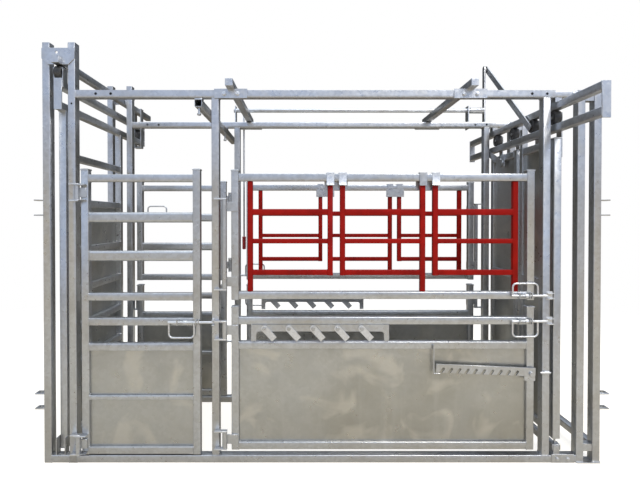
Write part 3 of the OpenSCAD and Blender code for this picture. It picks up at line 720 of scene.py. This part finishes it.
def red_rubber():
    material = bpy.data.materials.new("red_grip")
    material.use_nodes = True
    tree = material.node_tree
    shader = tree.nodes["Principled BSDF"]
    place = add_node(tree, "TexCoord").outputs["Object"]
    grub = add_node(tree, "TexNoise", Vector=place, Scale=70.0, Detail=5.0, Roughness=0.7).outputs[0]
    tone = blend_colour(tree, spread(tree, grub, 0.42, 0.72), (0.50, 0.035, 0.03), (0.30, 0.03, 0.025))
    tree.links.new(tone, shader.inputs["Base Color"])
    tree.links.new(spread(tree, grub, 0.3, 0.7, 0.42, 0.6), shader.inputs["Roughness"])
    relief = add_node(tree, "Bump", Strength=0.2, Distance=0.0008, Height=grub)
    tree.links.new(relief.outputs[0], shader.inputs["Normal"])
    return material


low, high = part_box("lever_grip")
bpy.ops.object.select_all(action="DESELECT")
bpy.ops.mesh.primitive_cylinder_add(vertices=32, radius=0.0105, depth=0.004)
grip = bpy.context.object
grip.name = "ribbed_grip"
grip.data.transform(Matrix.Translation(((low.x + high.x) / 2, (low.y + high.y) / 2, low.z + 0.002)))
edit_faces(grip, faces_up)
middle = Vector(((low.x + high.x) / 2, (low.y + high.y) / 2, 0))
rib_pitch = 0.008
for i in range(10):
    swell = 1.30 if i == 0 else 1.12
    for rise, width in ((0.001, swell), (rib_pitch - 0.004, 1.0), (0.001, 1 / 1.12), (0.002, 1.0)):
        bpy.ops.mesh.extrude_region_move(TRANSFORM_OT_translate={"value": (0, 0, rise)})
        bpy.ops.transform.resize(value=(width, width, 1), center_override=middle)
for rise, width in ((0.001, 1.22), (0.005, 1.0), (0.0015, 0.86)):
    bpy.ops.mesh.extrude_region_move(TRANSFORM_OT_translate={"value": (0, 0, rise)})
    bpy.ops.transform.resize(value=(width, width, 1), center_override=middle)
bpy.ops.object.mode_set(mode="OBJECT")
bpy.ops.object.shade_smooth_by_angle(angle=math.radians(50))
finish_piece(grip, "crank", red_rubber())
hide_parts("lever_grip")

# ---- Side gates ----
# The vet gates and the main gates are welded frames of box tube. The lower ones have a sheet set back in
# them. They hang by long eyes on the frame's pins, and the straps and eyes are part of each gate.

for node in ("vet_gate_near", "upper_gate_near", "lower_gate_near", "vet_gate_far_upper",
             "vet_gate_far_lower", "upper_gate_far", "lower_gate_far"):
    dress_gate(node)

# ---- Needle panels ----
# Light panels of thin box tube that swing out of the upper main gates on a vertical bar. They are
# painted deep red over the welds, a little uneven and with a few small chips.


def red_paint():
    material = bpy.data.materials.new("needle_red")
    material.use_nodes = True
    tree = material.node_tree
    shader = tree.nodes["Principled BSDF"]
    place = add_node(tree, "TexCoord").outputs["Object"]
    fade = add_node(tree, "TexNoise", Vector=place, Scale=9.0, Detail=5.0, Roughness=0.6).outputs[0]
    fleck = add_node(tree, "TexNoise", Vector=place, Scale=130.0, Detail=6.0, Roughness=0.75).outputs[0]
    tone = blend_colour(tree, spread(tree, fade, 0.35, 0.68), (0.30, 0.005, 0.002), (0.19, 0.003, 0.001))
    tone = blend_colour(tree, spread(tree, fleck, 0.56, 0.70, 0.0, 0.35), tone, (0.34, 0.010, 0.005))
    chip = spread(tree, fleck, 0.735, 0.75)
    tone = blend_colour(tree, chip, tone, (0.42, 0.40, 0.38))
    tree.links.new(tone, shader.inputs["Base Color"])
    tree.links.new(spread(tree, fleck, 0.3, 0.7, 0.30, 0.48), shader.inputs["Roughness"])
    shader.inputs["Specular IOR Level"].default_value = 0.14
    relief = add_node(tree, "Bump", Strength=0.2, Distance=0.0006, Height=fleck)
    tree.links.new(relief.outputs[0], shader.inputs["Normal"])
    return material


needle_red = red_paint()
for side in ("near", "far"):
    for number in (1, 2, 3):
        node = f"needle_{side}_{number}"
        panel = steel_copy(node, node + "_bars", corner=0.003)
        finish_piece(panel, node, needle_red)
        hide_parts(node)
        welds_and_caps(node, node, node, needle_red, upright_caps=False)

# ---- Saddle clips ----
# Folded from 5 mm flat bar, dropped over the upper gate's top rail to keep a needle panel shut. The front
# leg's lower third is kicked out a little, so that a thumb can lift the clip.

clip_thick = 0.005
lip_height = 0.022
lip_kick = math.radians(16)
for node in ("saddle_clip_1", "saddle_clip_2", "saddle_clip_3"):
    clip = steel_copy(node, node + "_folded", corner=0, sheared=0.0015)
    finish_piece(clip, node, pin_zinc)
    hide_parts(node)
    low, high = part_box(node)
    fold = Vector((0, low.y + clip_thick / 2, low.z + lip_height))
    pick_only(clip)
    bpy.ops.object.mode_set(mode="EDIT")
    bpy.ops.mesh.select_all(action="SELECT")
    bpy.ops.mesh.bisect(plane_co=fold, plane_no=(0, 0, 1))
    bpy.ops.mesh.select_mode(type="VERT")
    work = bmesh.from_edit_mesh(clip.data)
    for vertex in work.verts:
        vertex.select_set(vertex.co.z < fold.z - 0.0005)
    work.select_flush(True)
    bmesh.update_edit_mesh(clip.data)
    bpy.ops.transform.rotate(value=lip_kick, orient_axis="X", orient_type="GLOBAL", center_override=fold)
    bpy.ops.object.mode_set(mode="OBJECT")
    bpy.ops.object.shade_smooth_by_angle(angle=math.radians(38))

# ---- Latches ----
# Round bolts with a bent rod handle, plated bright. Each slides in drilled guides and a thick sleeve on
# its gate, and a coil spring round it pushes it home.


def coil_spring(name, start, length, radius, turns, body):
    """A closed-end coil along +X from start, made by winding a round wire with a screw."""
    wire = 0.0017
    bpy.ops.object.select_all(action="DESELECT")
    bpy.ops.mesh.primitive_circle_add(vertices=8, radius=wire, location=(0, radius, 0),
                                      rotation=(0, math.pi / 2, 0))
    piece = bpy.context.object
    piece.name = name
    bpy.ops.object.transform_apply(location=True, rotation=True, scale=True)
    screw = piece.modifiers.new("wind", "SCREW")
    screw.axis = "X"
    screw.angle = math.tau
    screw.screw_offset = length / turns
    screw.iterations = turns
    screw.steps = 20
    screw.render_steps = 20
    bpy.ops.object.modifier_apply(modifier=screw.name)
    bpy.ops.object.mode_set(mode="EDIT")
    bpy.ops.mesh.select_all(action="DESELECT")
    bpy.ops.mesh.select_mode(type="EDGE")
    bpy.ops.mesh.select_non_manifold()
    bpy.ops.mesh.edge_face_add()
    bpy.ops.mesh.select_all(action="SELECT")
    bpy.ops.mesh.normals_make_consistent(inside=False)
    bpy.ops.object.mode_set(mode="OBJECT")
    piece.data.transform(Matrix.Translation(start))
    bpy.ops.object.shade_smooth()
    finish_piece(piece, body, pin_zinc)


def bolt_sleeve(name, start, length, body):
    """A short thick tube round the bolt, bored clear of it, with rounded ends."""
    bpy.ops.object.select_all(action="DESELECT")
    bpy.ops.mesh.primitive_cylinder_add(vertices=32, radius=0.0115, depth=length)
    piece = bpy.context.object
    piece.name = name
    edit_faces(piece, lambda face: abs(face.normal.z) > 0.9)
    bpy.ops.mesh.inset(thickness=0.0042, use_individual=True)
    bpy.ops.mesh.bridge_edge_loops()
    bpy.ops.mesh.select_all(action="SELECT")
    bpy.ops.mesh.normals_make_consistent(inside=False)
    bpy.ops.object.mode_set(mode="OBJECT")
    bevel_where(piece, is_cut_edge, 0.001, 0.0012, 2)
    piece.data.transform(Matrix.Translation(start + Vector((length / 2, 0, 0))) @ turn_to(0).to_4x4())
    pick_only(piece)
    bpy.ops.object.shade_smooth_by_angle(angle=math.radians(40))
    finish_piece(piece, body, pin_zinc)


spring_length = 0.028
spring_radius = 0.0098
spring_turns = 4
sleeve_length = 0.018
bolt_radius = 0.007
# For each latch, its gate and how far along the bolt the spring and the sleeve start
LATCHES = {
    "vet_latch_near": ("vet_gate_near", 0.052, 0.081),
    "upper_latch_near": ("upper_gate_near", 0.042, 0.071),
    "lower_latch_near": ("lower_gate_near", 0.042, 0.071),
    "vet_latch_far_upper": ("vet_gate_far_upper", 0.130, 0.100),
    "vet_latch_far_lower": ("vet_gate_far_lower", 0.052, 0.081),
    "upper_latch_far": ("upper_gate_far", 0.110, 0.091),
    "lower_latch_far": ("lower_gate_far", 0.110, 0.091),
}
for node, (gate, spring_from, sleeve_from) in LATCHES.items():
    bolt = finish_piece(steel_copy(node, node + "_bolt", corner=0, sheared=0), node, pin_zinc)
    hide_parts(node)
    low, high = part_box(node)
    handle_up = node in ("upper_latch_near", "upper_latch_far", "vet_latch_far_upper")
    axis_z = low.z + bolt_radius if handle_up else high.z - bolt_radius
    start = Vector((low.x + spring_from, (low.y + high.y) / 2, axis_z))
    coil_spring(node + "_spring", start, spring_length, spring_radius, spring_turns, gate)
    bolt_sleeve(node + "_sleeve", start + Vector((sleeve_from - spring_from, 0, 0)), sleeve_length, gate)

# ---- Pawls, pawl plate and stay bar ----
# Five flat pawls hang on bolts from a profiled plate on each lower gate. The near one also has a flat
# stay bar with slanted notches, which turns on a bolt and rests in a bent hook.

for node, body, material, slot in (
    ("pawl_plate_near", "lower_gate_near", gate_zinc, "galvanised_gate"),
    ("pawls_far", "lower_gate_far", pin_zinc, "zinc_plated"),
    ("stay_bar", "stay_bar", gate_zinc, "galvanised_gate"),
    *((f"pawl_{number}", f"pawl_{number}", pin_zinc, "zinc_plated") for number in range(1, 6)),
):
    plate = finish_piece(steel_copy(node, node + "_cut", corner=0, sheared=0.0009), body, material)
    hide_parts(node)
